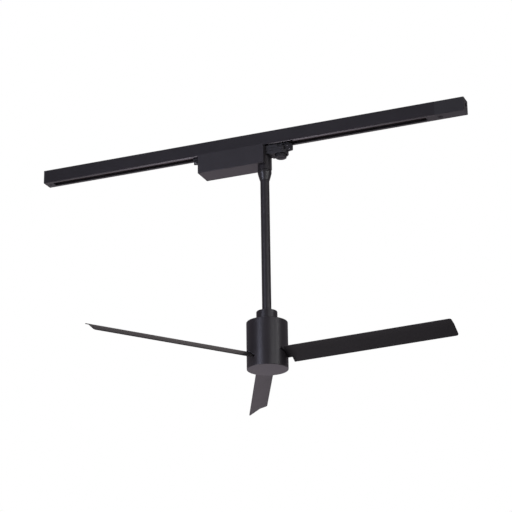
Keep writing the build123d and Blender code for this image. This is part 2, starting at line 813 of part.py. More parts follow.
cover_bottom = motor_top + cover_gap
cover_top = cover_bottom + cover_height
rod_bottom = motor_top + shoulder_gap + shoulder_height
rod_inner = rod_r - rod_wall
spigot_top = cover_top + spigot_length
pin_z = cover_top - pin_drop
pin_half = rod_r + pin_out
pin_hole = Pos(fan_x, 0, pin_z) * Rot(90, 0, 0) * Cylinder(pin_r, 2 * pin_half)
rod = ring(fan_x, 0, rod_bottom, nipple_bottom, rod_r, rod_inner) - pin_hole
keep("down_rod", rod)
keep("motor_lead", post(fan_x, 0, motor_top - stator_drop - lead_tail, nut_z + nut_height + lead_out,
                        lead_r))

# Motor: hollow shaft, cover, stator and bearings on the rod
shoulder_bottom = motor_top + shoulder_gap
bearing_top = motor_top - can_top
stator_top = motor_top - stator_drop
stator_bottom = stator_top - stator_height
hub_top = stator_bottom - hub_gap
hub_bottom = hub_top - hub_plate
lower_bearing_top = hub_top - hub_lip
lower_bearing_bottom = lower_bearing_top - bearing_width
shaft_bottom = lower_bearing_bottom - shaft_nut_height - cover_gap / 2
shaft = post(fan_x, 0, rod_bottom, spigot_top, rod_inner - fit_gap)
shaft += post(fan_x, 0, shoulder_bottom, rod_bottom, shoulder_r)
shaft += post(fan_x, 0, bearing_top, shoulder_bottom, sleeve_r)
shaft += post(fan_x, 0, shaft_bottom, bearing_top, shaft_r)
shaft -= post(fan_x, 0, stator_top - shaft_bore_end, spigot_top, shaft_bore)
shaft -= pin_hole
keep("motor_shaft", shaft)
pin_front = pin_hole - block(fan_x - pin_r, fan_x + pin_r, -shaft_bore, pin_half,
                             pin_z - pin_r, pin_z + pin_r)
pin_back = pin_hole - block(fan_x - pin_r, fan_x + pin_r, -pin_half, shaft_bore,
                            pin_z - pin_r, pin_z + pin_r)
keep("rod_pins", pin_front, pin_back)

shell = post(fan_x, 0, cover_bottom, cover_top, cover_r)
shell = fillet(shell.edges().group_by(Axis.Z)[-1], cover_edge)
shell -= post(fan_x, 0, cover_bottom, cover_top - cover_wall, cover_r - cover_wall)
cover_boss_r = rod_r + cover_boss
boss_bottom = pin_z + pin_r + cover_gap
shell += post(fan_x, 0, boss_bottom, cover_top - cover_wall, cover_boss_r)
shell -= post(fan_x, 0, cover_bottom, cover_top, rod_r)
set_screw_z = (boss_bottom + cover_top - cover_wall) / 2


def set_screw(y0, y1, radius):
    """A cylinder through the cover's back, from y0 to y1."""
    return Pos(fan_x, (y0 + y1) / 2, set_screw_z) * Rot(90, 0, 0) * Cylinder(radius, y1 - y0)


grub = set_screw(rod_r, cover_boss_r, set_screw_r) - post(fan_x, 0, cover_bottom, cover_top, rod_r)
shell -= grub
shell -= set_screw(cover_r - 2 * cover_wall, cover_r + cover_wall, set_screw_r + set_screw_access)
keep("coupling_cover", shell)
keep("coupling_screw", grub)

stator_rim_r = stator_r - stator_rim
stator = ring(fan_x, 0, stator_bottom, stator_top, stator_core_r, shaft_r)
stator += ring(fan_x, 0, stator_bottom, stator_top, stator_r, stator_rim_r)
tooth = block(fan_x + stator_core_r - stator_lap, fan_x + stator_rim_r + stator_lap,
              -tooth_width / 2, tooth_width / 2, stator_bottom, stator_top)
slot_mouth = block(fan_x + stator_rim_r - stator_lap, fan_x + stator_r + stator_lap,
                   -stator_mouth / 2, stator_mouth / 2, stator_bottom, stator_top)
for piece in around(tooth, slot_count, centre=(fan_x, 0)):
    stator += piece
for piece in around(slot_mouth, slot_count, start=180.0 / slot_count, centre=(fan_x, 0)):
    stator -= piece
keep("stator_core", stator)
coil_x0 = fan_x + stator_core_r + coil_in
coil_x1 = fan_x + stator_rim_r - coil_gap
coil_half = tooth_width / 2 + coil_side
coil = block(coil_x0, coil_x1, -coil_half, coil_half, stator_bottom - coil_end, stator_top + coil_end)
coil = fillet(coil.edges().filter_by(Axis.X), min(coil_edge, edge_share * coil_side))
coil -= block(coil_x0, coil_x1, -tooth_width / 2, tooth_width / 2, stator_bottom, stator_top)
keep("stator_windings", *around(coil, slot_count, centre=(fan_x, 0)))

inner_race_r = shaft_r + race_wall
outer_race_r = bearing_r - race_wall
ball_circle = (inner_race_r + outer_race_r) / 2
groove_r = ball_r + ball_play


def bearing(z_top):
    """The inner ring, outer ring and balls of a deep-groove bearing."""
    z_mid = z_top - bearing_width / 2
    groove = Pos(fan_x, 0, z_mid) * Torus(ball_circle, groove_r)
    inner = ring(fan_x, 0, z_top - bearing_width, z_top, inner_race_r, shaft_r) - groove
    outer = ring(fan_x, 0, z_top - bearing_width, z_top, bearing_r, outer_race_r) - groove
    ball = Pos(fan_x + ball_circle, 0, z_mid) * Sphere(ball_r)
    return inner, outer, around(ball, ball_count, centre=(fan_x, 0))


top_bearing = bearing(bearing_top)
low_bearing = bearing(lower_bearing_top)
keep("bearing_inner_rings", top_bearing[0], low_bearing[0])
keep("bearing_outer_rings", top_bearing[1], low_bearing[1])
keep("bearing_balls", *top_bearing[2], *low_bearing[2])
shaft_nut_place = Pos(fan_x, 0, lower_bearing_bottom - shaft_nut_height)
shaft_nut = shaft_nut_place * extrude(RegularPolygon(shaft_nut_r, 6), shaft_nut_height)
keep("shaft_nut", shaft_nut - post(fan_x, 0, shaft_bottom, lower_bearing_bottom, shaft_r))

# Blades: a folded sheet, steep towards the low edge, with a narrow tang in the can's slot
low_way = Vector(math.cos(math.radians(blade_low_pitch)), -math.sin(math.radians(blade_low_pitch)))
high_way = Vector(-math.cos(math.radians(blade_high_pitch)), math.sin(math.radians(blade_high_pitch)))
low_up = Vector(-low_way.Y, low_way.X)
high_up = Vector(high_way.Y, -high_way.X)
crease = Vector(blade_crease_t, hub_bottom - blade_drop)
fold = (low_up + high_up).normalized()
fold_reach = 1 / fold.dot(low_up)


def fold_section(low, high, above, below):
    """The folded sheet's outline across the span, as (t, z) points."""
    up = [crease + low_way * low + low_up * above, crease + fold * (above * fold_reach),
          crease + high_way * high + high_up * above]
    down = [crease + high_way * high - high_up * below, crease - fold * (below * fold_reach),
            crease + low_way * low - low_up * below]
    return [(p.X, p.Y) for p in up + down]


def along_span(points, r0, r1):
    """A (t, z) outline run outward from radius r0 to r1, with the span along X."""
    return prism_x(points, r0, r1)


half_sheet = blade_thickness / 2
blade = along_span(fold_section(blade_low_chord, blade_high_chord, half_sheet, half_sheet),
                   blade_inner_r, blade_tip_r)
margin = 3 * blade_thickness


def shoulder_cut(wide, tang, radius):
    """What is cut beside the tang: all of the sheet inside the radius, but for the tang itself."""
    waste = along_span(fold_section(*wide, margin, margin), blade_inner_r - 1, radius)
    return waste - along_span(fold_section(*tang, margin + 1, margin + 1), blade_inner_r - 2, radius + 1)


blade -= shoulder_cut((blade_low_chord + 5, 0), (tang_low, blade_high_chord), shoulder_low_r)
blade -= shoulder_cut((0, blade_high_chord + 5), (blade_low_chord, tang_high), shoulder_high_r)


def tip_corner(way, up, chord, side):
    """The waste outside a round tip corner, on the flap that runs along way from the crease."""
    size = blade_corner + 1
    align = (Align.MIN, Align.MIN if side > 0 else Align.MAX, Align.CENTER)
    waste = Box(size, size, margin, align=align) - Cylinder(blade_corner, margin)
    centre = crease + way * (chord - blade_corner)
    plane = Plane(origin=(blade_tip_r - blade_corner, centre.X, centre.Y), x_dir=(1, 0, 0),
                  z_dir=(0, up.X, up.Y))
    return plane * waste


blade -= tip_corner(low_way, low_up, blade_low_chord, 1)
blade -= tip_corner(high_way, high_up, blade_high_chord, -1)

screw_span = blade_inner_r + blade_screw_in
screw_spans = (screw_span, screw_span + blade_screw_pitch)
screw_tilt = math.degrees(math.atan2(low_up.X, low_up.Y))
pad_r1 = math.sqrt((motor_r - can_wall) ** 2 - pad_low_t ** 2) - running_gap
screw_centre = crease + low_way * blade_screw_along


def screw_at(span, z0, z1, radius):
    """A cylinder square to the blade's main face, z0 to z1 along its upward normal."""
    centre = screw_centre + low_up * ((z0 + z1) / 2)
    return Pos(span, centre.X, centre.Y) * Rot(-screw_tilt, 0, 0) * Cylinder(radius, z1 - z0)


for span in screw_spans:
    blade -= screw_at(span, -2 * blade_thickness, 2 * blade_thickness, blade_screw_r)
place = Pos(fan_x, 0, 0)
blades = around(blade, blade_count, start=blade_azimuth)
for i, shape in enumerate(blades):
    keep(f"blade_{i + 1}", place * shape)


def surface_z(t):
    """The height of the blade's upper face at t."""
    if t < crease.X:
        return crease.Y + (crease.X - t) * math.tan(math.radians(blade_high_pitch)) + \
            half_sheet / math.cos(math.radians(blade_high_pitch))
    return crease.Y - (t - crease.X) * math.tan(math.radians(blade_low_pitch)) + \
        half_sheet / math.cos(math.radians(blade_low_pitch))


fold_top = crease + fold * (half_sheet * fold_reach)
pad = along_span([(pad_low_t, hub_bottom), (pad_low_t, surface_z(pad_low_t)),
                  (fold_top.X, fold_top.Y), (pad_high_t, surface_z(pad_high_t)),
                  (pad_high_t, hub_bottom)], blade_inner_r, pad_r1)
clamp_top = -half_sheet
clamp_bottom = clamp_top - clamp_thickness
clamp_outline = [screw_centre + low_way * (clamp_half * a) + low_up * level
                 for a, level in ((1, clamp_top), (-1, clamp_top), (-1, clamp_bottom), (1, clamp_bottom))]
clamp_plate = along_span([(p.X, p.Y) for p in clamp_outline],
                         screw_spans[0] - clamp_end, screw_spans[1] + clamp_end)
pad_screws = []
for span in screw_spans:
    pad -= screw_at(span, half_sheet, blade_screw_grip, blade_screw_r)
    clamp_plate -= screw_at(span, clamp_bottom, clamp_top, blade_screw_r)
    shank = screw_at(span, clamp_bottom, blade_screw_grip, blade_screw_r)
    head = screw_at(span, clamp_bottom - blade_screw_head, clamp_bottom, blade_screw_head_r)
    pad_screws.append(shank + head)

can_inner = motor_r - can_wall
hub = ring(0, 0, hub_bottom, hub_top, can_inner, bearing_r)
hub += ring(0, 0, lower_bearing_bottom, hub_top, bearing_r + hub_boss, bearing_r)
hub += ring(0, 0, lower_bearing_top, hub_top, bearing_r + hub_lip, bearing_r - bearing_lip)
for shape in around(pad, blade_count, start=blade_azimuth):
    hub += shape
ring_bottom = hub_top
ring_top = ring_bottom + ring_height
magnet_r0 = stator_r + air_gap
magnet_r1 = magnet_r0 + magnet_thickness
hub_screw_circle = (magnet_r1 + can_inner) / 2
hub_screw_length = hub_plate + hub_screw_grip
hub_holes = around(post(hub_screw_circle, 0, hub_bottom, hub_bottom + hub_screw_length, hub_screw_r),
                   blade_count, start=blade_azimuth + 60)
rotor_ring = ring(0, 0, ring_bottom, ring_top, can_inner, magnet_r1)
for hole in hub_holes:
    hub -= hole
    rotor_ring -= hole
keep("rotor_hub", place * hub)
keep("rotor_ring", place * rotor_ring)
keep("blade_screws", *[place * s for shape in pad_screws
                       for s in around(shape, blade_count, start=blade_azimuth)])
keep("blade_clamps", *[place * s for s in around(clamp_plate, blade_count, start=blade_azimuth)])
hub_screw = bolt(hub_screw_circle, 0, hub_bottom, hub_screw_r * hub_head_share,
                 hub_screw_r * head_fill, hub_screw_r, hub_screw_length)
keep("hub_screws", *[place * s for s in around(hub_screw, blade_count, start=blade_azimuth + 60)])

magnet_step = 360.0 / magnet_count
wedge_angle = math.radians(magnet_step - magnet_gap) / 2
magnet_z0 = stator_bottom - magnet_overhang
magnet_z1 = stator_top + magnet_overhang
wedge_r = magnet_r1 * 1.5
wedge = make_face(Polyline((0, 0), (wedge_r, -wedge_r * math.tan(wedge_angle)),
                           (wedge_r, wedge_r * math.tan(wedge_angle)), close=True))
magnet = ring(0, 0, magnet_z0, magnet_z1, magnet_r1, magnet_r0) & (
    Pos(0, 0, magnet_z0) * extrude(wedge, magnet_z1 - magnet_z0))
keep("rotor_magnets", *[place * m for m in around(magnet, magnet_count)])

motor_bottom = motor_top - motor_height
floor_z = motor_bottom + bottom_thickness
can = post(0, 0, floor_z, motor_top, motor_r)
can = fillet(can.edges().group_by(Axis.Z)[-1], can_edge)
can -= post(0, 0, floor_z, motor_top - can_top, can_inner)
can += ring(0, 0, bearing_top - bearing_width, bearing_top, bearing_r + bearing_seat, bearing_r)
can -= post(0, 0, bearing_top, motor_top, bearing_r - bearing_lip)
slot_cut = along_span(
    fold_section(tang_low + 2.5 * slot_clearance, tang_high + slot_clearance,
                 half_sheet + slot_clearance, half_sheet + slot_clearance),
    can_inner - can_slot_back, motor_r + can_wall)
for shape in around(slot_cut, blade_count, start=blade_azimuth):
    can -= shape
keep("rotor_housing", place * can)

spigot_r = can_inner - fit_gap
bottom = post(0, 0, motor_bottom, floor_z, motor_r)
bottom = fillet(bottom.edges().group_by(Axis.Z)[0], bottom_edge)
bottom += ring(0, 0, floor_z, floor_z + bottom_spigot, spigot_r, spigot_r - bottom_spigot_wall)
keep("bottom_cover", place * bottom)

for name, shape in nodes.items():
    export_step(shape, f"parts/{name}.step")

print(len(nodes), "nodes written")
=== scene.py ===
import math

import bmesh
import bpy
from mathutils import Matrix, Vector


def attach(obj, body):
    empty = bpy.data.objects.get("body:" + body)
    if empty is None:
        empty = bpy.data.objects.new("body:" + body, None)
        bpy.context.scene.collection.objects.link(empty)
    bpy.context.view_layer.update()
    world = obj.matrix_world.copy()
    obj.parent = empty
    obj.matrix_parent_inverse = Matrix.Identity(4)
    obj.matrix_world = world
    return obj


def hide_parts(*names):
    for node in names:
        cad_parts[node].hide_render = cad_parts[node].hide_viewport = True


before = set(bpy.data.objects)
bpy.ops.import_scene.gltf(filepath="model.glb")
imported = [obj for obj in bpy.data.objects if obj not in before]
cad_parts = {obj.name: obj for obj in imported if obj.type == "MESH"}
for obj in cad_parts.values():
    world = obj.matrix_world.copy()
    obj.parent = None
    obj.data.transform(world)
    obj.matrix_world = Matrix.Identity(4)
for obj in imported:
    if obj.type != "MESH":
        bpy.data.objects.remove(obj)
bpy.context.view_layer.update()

# Track. An extruded aluminium channel with a slot along its underside, powder coated satin
# black. It is cut square to length, and two screws through its top wall hold it to the ceiling.
# Pieces are modelled in millimetres and brought to metres when they are placed.
track_half = 500.0
track_y = 16.5
track_z = -33.0
track_inner = 15.0
slot_y = 8.5
lip_top = -31.4
upturn_top = -28.4
upturn_y = 9.7
ceiling_screws = (-400.0, 400.0)


def drawn_out(outline, start, end):
    """A closed (y, z) outline drawn out along X, as from an extrusion die."""
    bm = bmesh.new()
    face = bm.faces.new([bm.verts.new((start, y, z)) for y, z in outline])
    drawn = bmesh.ops.extrude_face_region(bm, geom=[face])["geom"]
    moved = [v for v in drawn if isinstance(v, bmesh.types.BMVert)]
    bmesh.ops.translate(bm, vec=(end - start, 0, 0), verts=moved)
    bmesh.ops.recalc_face_normals(bm, faces=bm.faces)
    return bm


def soften(bm, width, segments=2, corner=35.0, where=lambda edge: True):
    """Rounds the edges that turn by more than corner degrees."""
    sharp = [e for e in bm.edges if e.is_manifold
             and e.calc_face_angle(0.0) > math.radians(corner) and where(e)]
    bmesh.ops.bevel(bm, geom=sharp, offset=width, offset_type="OFFSET", segments=segments,
                    profile=0.5, affect="EDGES", clamp_overlap=True, material=-1)
    return bm


def middle(edge):
    return (edge.verts[0].co + edge.verts[1].co) / 2


def post(x, y, low, high, radius, steps=48):
    """An upright cylinder."""
    bm = bmesh.new()
    bmesh.ops.create_cone(bm, cap_ends=True, segments=steps, radius1=radius, radius2=radius,
                          depth=high - low, matrix=Matrix.Translation((x, y, (low + high) / 2)))
    return bm


def block(low, high):
    """A box between two corners."""
    bm = bmesh.new()
    size = Vector(high) - Vector(low)
    centre = (Vector(high) + Vector(low)) / 2
    bmesh.ops.create_cube(bm, size=1.0, matrix=Matrix.Translation(centre)
                          @ Matrix.Diagonal((*size, 1.0)))
    return bm


def joined(bm, *others):
    """The first mesh with the others beside it."""
    for other in others:
        mesh = bpy.data.meshes.new("joined")
        other.to_mesh(mesh)
        other.free()
        bm.from_mesh(mesh)
        bpy.data.meshes.remove(mesh)
    return bm


def machined(bm, tool, operation="DIFFERENCE"):
    """The first solid less the second, or the two as one with UNION."""
    loose = []
    for solid in (bm, tool):
        mesh = bpy.data.meshes.new("loose")
        solid.to_mesh(mesh)
        solid.free()
        obj = bpy.data.objects.new("loose", mesh)
        bpy.context.scene.collection.objects.link(obj)
        loose.append(obj)
    cut = loose[0].modifiers.new("cut", "BOOLEAN")
    cut.operation = operation
    cut.solver = "EXACT"
    cut.object = loose[1]
    finished = loose[0].evaluated_get(bpy.context.evaluated_depsgraph_get())
    result = bmesh.new()
    result.from_mesh(finished.to_mesh())
    finished.to_mesh_clear()
    for obj in loose:
        mesh = obj.data
        bpy.data.objects.remove(obj)
        bpy.data.meshes.remove(mesh)
    bmesh.ops.remove_doubles(result, verts=result.verts, dist=0.0005)
    return result


def piece(name, body, slot, finish, bm, *nodes):
    """Brings a mesh in millimetres to its place, on its body, in its material."""
    bmesh.ops.scale(bm, vec=(0.001, 0.001, 0.001), verts=bm.verts)
    mesh = bpy.data.meshes.new(name)
    bm.to_mesh(mesh)
    bm.free()
    mesh.shade_smooth()
    mesh.set_sharp_from_angle(angle=math.radians(32))
    mesh.materials.append(finish)
    obj = bpy.data.objects.new(name, mesh)
    bpy.context.scene.collection.objects.link(obj)
    weight = obj.modifiers.new("face_weight", "WEIGHTED_NORMAL")
    weight.keep_sharp = True
    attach(obj, body)
    if nodes:
        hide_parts(*nodes)
    return obj


def dress(finish, *nodes):
    """Gives CAD pieces whose shape stays their material."""
    for node in nodes:
        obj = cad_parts[node]
        obj.data.materials.clear()
        obj.data.materials.append(finish)


class Wire:
    """An output socket that can stand in an expression, where each operator adds a Math node."""

    def __init__(self, graph, socket):
        self.graph = graph
        self.socket = socket

    def maths(self, operation, first, second):
        return self.graph.node("Math", {"operation": operation}, {0: first, 1: second})

    def __add__(self, other):
        return self.maths("ADD", self, other)

    def __radd__(self, other):
        return self.maths("ADD", other, self)

    def __sub__(self, other):
        return self.maths("SUBTRACT", self, other)

    def __rsub__(self, other):
        return self.maths("SUBTRACT", other, self)

    def __mul__(self, other):
        return self.maths("MULTIPLY", self, other)

    def __rmul__(self, other):
        return self.maths("MULTIPLY", other, self)


class Graph:
    """A node tree that grows by one method."""

    def __init__(self, tree):
        self.tree = tree
        self.tree.nodes.clear()

    def node(self, kind, settings=None, sockets=None, output=0):
        """Adds a node of a kind, with its settings first and then its sockets' values or links."""
        added = self.tree.nodes.new("ShaderNode" + kind)
        for setting, value in (settings or {}).items():
            if setting == "stops":
                ramp = added.color_ramp
                while len(ramp.elements) < len(value):
                    ramp.elements.new(0.5)
                for element, (position, colour) in zip(ramp.elements, value):
                    element.position = position
                    element.color = colour
            else:
                setattr(added, setting, value)
        for socket, value in (sockets or {}).items():
            if isinstance(value, Wire):
                self.tree.links.new(value.socket, added.inputs[socket])
            else:
                added.inputs[socket].default_value = value
        return added if output is None else Wire(self, added.outputs[output])


class Finish(Graph):
    """A material: a Principled shader with constants, and nodes that feed it."""

    def __init__(self, name, **constants):
        self.material = bpy.data.materials.new(name)
        self.material.use_nodes = True
        super().__init__(self.material.node_tree)
        output = self.tree.nodes.new("ShaderNodeOutputMaterial")
        self.shader = self.tree.nodes.new("ShaderNodeBsdfPrincipled")
        self.tree.links.new(self.shader.outputs[0], output.inputs[0])
        for socket, value in constants.items():
            self.shader.inputs[socket.replace("_", " ")].default_value = value

    def feed(self, **sockets):
        """Links values that vary over the surface to the shader."""
        for socket, wire in sockets.items():
            self.tree.links.new(wire.socket, self.shader.inputs[socket.replace("_", " ")])

    def place(self, stretch=(1.0, 1.0, 1.0)):
        """Object coordinates, stretched along each axis."""
        spot = self.node("TexCoord", output="Object")
        return self.node("Mapping", {}, {"Vector": spot, "Scale": stretch})

    def noise(self, where, scale, detail=2.0, roughness=0.5):
        return self.node("TexNoise", {}, {"Vector": where, "Scale": scale, "Detail": detail,
                                          "Roughness": roughness})

    def mixed(self, share, first, second):
        """A colour between two, by a share from 0 to 1."""
        return self.node("Mix", {"data_type": "RGBA"}, {0: share, 6: first, 7: second}, 2)

    def ramped(self, value, none, full):
        """A smooth share from 0 to 1 as a value goes from none to full."""
        return self.node("MapRange", {"interpolation_type": "SMOOTHSTEP"},
                         {"Value": value, 1: none, 2: full, 3: 0.0, 4: 1.0})

    def relief(self, height, depth):
        """A bumped normal, with the relief's depth in metres."""
        return self.node("Bump", {}, {"Height": height, "Distance": depth, "Strength": 1.0})


def powder_coat(name, colour, roughness, grain, gloss=0.5, lines=0.0, lip_sheen=False):
    """Satin black powder coat: a fine orange peel, and faint cloudiness in tone and gloss.
    With lines, the drawing marks of the aluminium show through along X. With a lip sheen, a painted
    highlight: the underside of the front lip is made lighter, smoother and metallic near the
    carriage, fading towards the ends."""
    finish = Finish(name, Specular_IOR_Level=gloss)
    where = finish.place()
    peel = finish.noise(where, grain, 3.0, 0.6)
    cloud = finish.noise(where, 14.0, 4.0, 0.55)
    speck = finish.noise(where, grain * 2.7, 1.0)
    lighter = [c * 1.3 for c in colour]
    darker = [c * 0.78 for c in colour]
    tone = finish.mixed(cloud, (*darker, 1.0), (*lighter, 1.0))
    height = peel + 0.35 * speck
    rough = roughness - 0.06 + 0.08 * cloud + 0.04 * peel
    if lines:
        die_marks = finish.noise(finish.place((0.6, 1.0, 1.0)), 1500.0, 2.0)
        height = height + lines * die_marks
    # Painted highlight: the front lip's underside gets a lighter grey, metal and gloss, strongest near the
    # carriage and fading along X.
    if lip_sheen:
        spot = finish.place()
        along = finish.node("SeparateXYZ", {}, {0: spot}, "X") - 0.025
        across = finish.node("SeparateXYZ", {}, {0: spot}, "Y")
        level = finish.node("SeparateXYZ", {}, {0: spot}, "Z")
        painted_sheen_mask = finish.ramped(along * along, 0.47 ** 2, 0.13 ** 2) * finish.ramped(level, -0.0327, -0.0329)
        painted_sheen_mask = painted_sheen_mask * finish.ramped(across, -0.008, -0.009)
        tone = finish.mixed(painted_sheen_mask, tone, (0.11, 0.105, 0.11, 1.0))
        rough = rough - painted_sheen_mask * (rough - 0.2)
        finish.feed(Metallic=painted_sheen_mask)
    finish.feed(Base_Color=tone, Roughness=rough, Normal=finish.relief(height, 0.00003))
    return finish.material


# The track's coat carries the painted highlight under its front lip.
track_coat = powder_coat("track_coat", (0.0165, 0.0152, 0.0175), 0.36, 900.0, 0.5, 0.3, True)


def track_half_outline(side):
    """One side of the section, from the middle of the top wall's underside to the ceiling face."""
    points = [(0.0, -2.2)]
    if side > 0:
        points += [(2.5, -2.2), (2.5, -3.2), (3.5, -3.2), (3.5, -2.2)]
        points += [(7.5, -2.2), (7.5, -3.2), (8.5, -3.2), (8.5, -2.2)]
    points += [(side * y, z) for y, z in (
        (track_inner, -2.2), (track_inner, -9.0), (10.0, -9.0), (10.0, -10.2), (track_inner, -10.2),
        (track_inner, lip_top), (upturn_y, lip_top), (upturn_y, upturn_top), (slot_y, upturn_top),
        (slot_y, track_z), (track_y, track_z), (track_y, 0.0))]
    return points


front_side = track_half_outline(-1)
back_side = track_half_outline(1)
track = drawn_out(back_side + front_side[:0:-1], -track_half, track_half)
soften(track, 1.1, 1, where=lambda e: abs(abs(middle(e).y) - track_y) < 0.01
       and abs(middle(e).z - track_z) < 0.01 and abs(middle(e).x) < 1)
soften(track, 0.4, 3, where=lambda e: abs(abs(middle(e).y) - track_y) < 0.01
       and abs(middle(e).z) < 0.01 and abs(middle(e).x) < 1)
soften(track, 0.25, 2, where=lambda e: abs(middle(e).x) < 1 and abs(middle(e).y) < 14)
for x in ceiling_screws:
    track = machined(track, post(x, 0, -4, 1, 2.3, 32))
piece("track_channel", "track", "track_paint", track_coat, track, "track_profile")

# Insulators. Two extruded strips of grey-black plastic, slid into the channel between its shelf
# and its lip. Each has two grooves, and a bare copper conductor is pressed into every groove.
insulator_levels = (-15.5, -23.5)


def moulded(name, colour, roughness, grain=1300.0, depth=0.00002):
    """Matt plastic with the fine sparked texture of its mould."""
    finish = Finish(name, Specular_IOR_Level=0.4)
    where = finish.place()
    texture = finish.noise(where, grain, 2.0, 0.7)
    cloud = finish.noise(where, 25.0, 3.0)
    darker = [c * 0.8 for c in colour]
    lighter = [c * 1.25 for c in colour]
    finish.feed(Base_Color=finish.mixed(cloud, (*darker, 1.0), (*lighter, 1.0)),
                Roughness=roughness - 0.05 + 0.1 * texture,
                Normal=finish.relief(texture, depth))
    return finish.material


def drawn_metal(name, colour, roughness, along=(0.05, 1.0, 1.0), tarnish=0.25):
    """Bare metal with its drawing lines and a little tarnish."""
    finish = Finish(name, Metallic=1.0)
    lines = finish.noise(finish.place(along), 3000.0, 3.0)
    stain = finish.noise(finish.place(), 60.0, 4.0, 0.6)
    dull = [c * (1 - tarnish) * 0.8 for c in colour]
    finish.feed(Base_Color=finish.mixed(stain, (*colour, 1.0), (*dull, 1.0)),
                Roughness=roughness + 0.2 * stain + 0.1 * lines,
                Normal=finish.relief(lines, 0.000008))
    return finish.material


insulator_plastic = moulded("insulator_plastic", (0.12, 0.118, 0.122), 0.6)
copper = drawn_metal("copper", (0.72, 0.42, 0.27), 0.28)


def insulator(side):
    outline = [(15.0, lip_top), (15.0, -10.2), (10.0, -10.2)]
    for level in insulator_levels:
        outline += [(10.0, level + 1.7), (13.6, level + 1.7), (13.6, level - 1.7), (10.0, level - 1.7)]
    outline += [(10.0, lip_top)]
    strip = drawn_out([(side * y, z) for y, z in outline], -track_half, track_half)
    return soften(strip, 0.2, 2, where=lambda e: abs(middle(e).x) < 1)


piece("insulator_front", "track", "insulator_plastic", insulator_plastic, insulator(-1),
      "track_insulator_front")
piece("insulator_back", "track", "insulator_plastic", insulator_plastic, insulator(1),
      "track_insulator_back")
conductors = bmesh.new()
for side in (-1, 1):
    for level in insulator_levels:
        wire = drawn_out([(side * 12.5, level - 1.2), (side * 13.6, level - 1.2),
                          (side * 13.6, level + 1.2), (side * 12.5, level + 1.2)],
                         -track_half, track_half)
        joined(conductors, soften(wire, 0.3, 2, where=lambda e: abs(middle(e).x) < 1))
piece("conductors", "track", "copper", copper, conductors, "track_conductors")
dress(copper, "track_earth_strip")

# Dead end. A moulded black cap: a plate over the cut end, a plug that fills the channel, and a
# tab that closes the slot, held by one screw into the plug.
cap_end = -504.0
plastic_black = moulded("plastic_black", (0.03, 0.03, 0.032), 0.46)


def sliced(bm, axis, *levels):
    """Cuts every face that crosses the levels along an axis, without taking anything away."""
    normal = Vector((axis == "x", axis == "y", axis == "z"))
    for level in levels:
        bmesh.ops.bisect_plane(bm, geom=bm.verts[:] + bm.edges[:] + bm.faces[:], dist=0.0001,
                               plane_co=normal * level, plane_no=normal)
    return bm


def pulled(bm, where, vector):
    """Pulls out the faces whose middle passes a test, with walls behind them."""
    chosen = [f for f in bm.faces if where(f.calc_center_median())]
    drawn = bmesh.ops.extrude_face_region(bm, geom=chosen)["geom"]
    moved = [v for v in drawn if isinstance(v, bmesh.types.BMVert)]
    bmesh.ops.translate(bm, vec=vector, verts=moved)
    return bm


def plugged(plate, face_x, tab, plug, way):
    """Pulls a slot tab and a channel plug out of a plate's inner face."""
    sliced(plate, "y", -9.65, -8.45, 8.45, 9.65)
    sliced(plate, "z", upturn_top, -3.25)
    on_face = lambda c: abs(c.x - face_x) < 0.01
    pulled(plate, lambda c: on_face(c) and abs(c.y) < 9.65 and upturn_top < c.z < -3.25,
           (way * plug, 0, 0))
    pulled(plate, lambda c: on_face(c) and abs(c.y) < 8.45 and c.z < upturn_top, (way * tab, 0, 0))
    return plate


def pan_screw(x, y, seat, head_r, head_h, shank_r, length):
    """A pan-head screw that points up, with a cross recess in its head."""
    head = soften(post(x, y, seat - head_h, seat, head_r, 32), head_h * 0.45, 3,
                  where=lambda e: middle(e).z < seat - head_h + 0.01)
    for turn in (0, 90):
        slot = block((-head_r * 0.62, -head_r * 0.14, -head_h * 0.55), (head_r * 0.62, head_r * 0.14, 0.2))
        bmesh.ops.rotate(slot, verts=slot.verts, matrix=Matrix.Rotation(math.radians(turn), 3, "Z"))
        bmesh.ops.scale(slot, vec=(1, 1, -1), verts=slot.verts)
        bmesh.ops.reverse_faces(slot, faces=slot.faces)
        bmesh.ops.translate(slot, vec=(x, y, seat - head_h), verts=slot.verts)
        head = machined(head, slot)
    return joined(head, post(x, y, seat, seat + length, shank_r, 24))


black_steel = drawn_metal("black_steel", (0.06, 0.06, 0.065), 0.35, (1.0, 1.0, 1.0), 0.1)

cap = block((cap_end, -track_y, track_z), (-track_half, track_y, 0))
soften(cap, 1.2, 4, where=lambda e: abs(abs(middle(e).y) - track_y) < 0.01
       and abs(middle(e).z - track_z) < 0.01)
soften(cap, 1.0, 4, where=lambda e: abs(middle(e).x - cap_end) < 0.01)
plugged(cap, -track_half, 18.0, 15.0, 1)
cap = machined(cap, post(-492.5, 0, track_z - 1, -32.0, 3.04, 32))
piece("dead_end_cap", "track", "black_plastic", plastic_black, cap, "end_cap")
piece("dead_end_screw", "track", "black_steel", black_steel,
      pan_screw(-492.5, 0, -32.0, 2.88, 0.9, 1.6, 14.0), "end_cap_screw")

